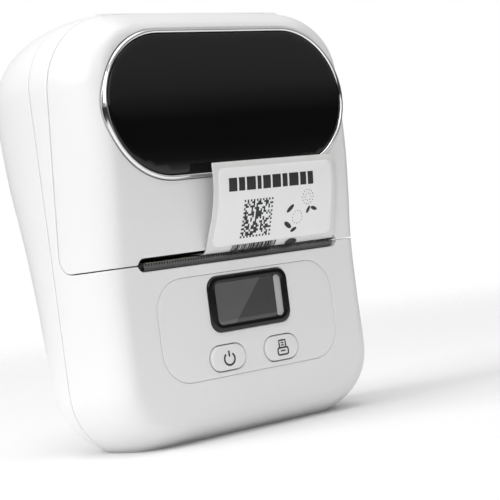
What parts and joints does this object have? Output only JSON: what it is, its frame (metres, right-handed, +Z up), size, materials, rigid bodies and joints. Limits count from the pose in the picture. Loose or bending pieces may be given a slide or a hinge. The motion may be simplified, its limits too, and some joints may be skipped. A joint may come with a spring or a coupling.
{
  "type": "thermal label printer",
  "caption": "Pocket thermal label printer with a flip-up lid, drop-in label roll, geared platen, sprung print head, small display and push buttons.",
  "frame": {"origin": "middle of the flat base that the printer stands on", "axes": "+Z up along the height of the case, -Y is the front with the slot and screen, +X is to the right as seen from the front"},
  "size_m": [0.087, 0.054, 0.109],
  "materials": {
    "white_abs": "satin white moulded ABS",
    "inner_white": "matt white moulded ABS",
    "black_gloss": "polished black acrylic",
    "bright_ring": "bright chrome plating",
    "screen_black": "gloss black",
    "screen_glass": "dark display window",
    "button_white": "satin white ABS",
    "steel": "bright steel",
    "spring_steel": "drawn spring steel",
    "black_abs": "fine textured black ABS",
    "gear_acetal": "natural acetal",
    "brass": "turned brass",
    "platen_rubber": "ground rubber",
    "pcb": "green solder mask",
    "chip_black": "moulded chip packages",
    "battery_wrap": "blue shrink film",
    "motor_can": "zinc plated can",
    "head_ceramic": "glazed ceramic",
    "aluminium": "pressed aluminium",
    "flat_cable": "printed film",
    "label_paper": "coated thermal paper",
    "liner_paper": "glassine backing",
    "core_card": "wound card tube"
  },
  "bodies": {
    "root": {"front_shell": "white_abs", "rear_shell": "white_abs", "hinge_brackets": "inner_white", "hinge_pin": "steel", "control_panel": "white_abs", "screen_bezel": "screen_black", "screen_glass": "screen_glass", "lcd_module": "aluminium", "tear_bar": "steel", "release_spring": "spring_steel", "case_screws": "steel", "main_board": "pcb", "board_components": "chip_black", "tactile_switches": "chip_black", "battery_pack": "battery_wrap", "usb_socket": "steel", "head_cable": "flat_cable", "chassis": "black_abs", "gear_cover": "black_abs", "chassis_screws": "steel", "drive_motor": "motor_can", "idler_axle": "steel", "head_pivot_pin": "steel", "head_springs": "spring_steel", "paper_sensor": "chip_black", "paper_tray": "black_abs", "guide_rail": "steel", "fixed_roll_guide": "black_abs", "label_web": "liner_paper"},
    "lid": {"lid_shell": "white_abs", "lid_inner_frame": "inner_white", "lid_panel": "black_gloss", "lid_bezel": "bright_ring", "platen_bushes": "brass", "label_tail": "liner_paper", "printed_label": "label_paper"},
    "platen": {"platen_roller": "platen_rubber", "platen_shaft": "steel", "platen_gear": "gear_acetal"},
    "idler": {"idler_gear": "gear_acetal"},
    "motor_rotor": {"motor_pinion": "brass"},
    "head": {"print_head": "head_ceramic", "head_heatsink": "aluminium"},
    "power_key": {"power_button": "button_white"},
    "feed_key": {"feed_button": "button_white"},
    "release_key": {"release_button": "button_white"},
    "roll_guide": {"sliding_roll_guide": "black_abs"},
    "roll": {"label_roll": "label_paper", "roll_core": "core_card"}
  },
  "joints": [
    {"name": "lid_hinge", "type": "hinge", "parent": "root", "child": "lid", "pos_m": [0, -0.00955, 0.10605], "axis": [-1, 0, 0], "range_deg": [0, 68]},
    {"name": "platen_spin", "type": "hinge", "parent": "lid", "child": "platen", "pos_m": [0, -0.011, 0.0506], "axis": [1, 0, 0], "continuous": true},
    {"name": "idler_spin", "type": "hinge", "parent": "root", "child": "idler", "pos_m": [-0.0349, 0.00025, 0.04821], "axis": [1, 0, 0], "continuous": true},
    {"name": "motor_spin", "type": "hinge", "parent": "root", "child": "motor_rotor", "pos_m": [-0.0349, 0.00542, 0.04024], "axis": [1, 0, 0], "continuous": true},
    {"name": "roll_spin", "type": "hinge", "parent": "root", "child": "roll", "pos_m": [0.0095, 0.0035, 0.08], "axis": [1, 0, 0], "continuous": true},
    {"name": "head_pivot", "type": "hinge", "parent": "root", "child": "head", "pos_m": [0, -0.0034, 0.0436], "axis": [1, 0, 0], "range_deg": [0, 2.5], "stiffness_Nm_per_rad": 0.08, "springref_deg": -14.32, "deforming": ["head_springs"]},
    {"name": "power_button_press", "type": "slide", "parent": "root", "child": "power_key", "axis": [0, 1, 0], "range_m": [0, 0.0005], "stiffness_N_per_m": 800, "springref_m": -0.0005},
    {"name": "feed_button_press", "type": "slide", "parent": "root", "child": "feed_key", "axis": [0, 1, 0], "range_m": [0, 0.0005], "stiffness_N_per_m": 800, "springref_m": -0.0005},
    {"name": "release_button_press", "type": "slide", "parent": "root", "child": "release_key", "axis": [-1, 0, 0], "range_m": [0, 0.001], "stiffness_N_per_m": 600, "springref_m": -0.001, "deforming": ["release_spring"]},
    {"name": "roll_guide_slide", "type": "slide", "parent": "root", "child": "roll_guide", "axis": [-1, 0, 0], "range_m": [0, 0.013]}
  ],
  "couplings": [
    {"joint": "idler_spin", "follows": "platen_spin", "ratio": -0.64286},
    {"joint": "motor_spin", "follows": "platen_spin", "ratio": 1.8},
    {"joint": "roll_spin", "follows": "platen_spin", "ratio": 0.23333}
  ]
}
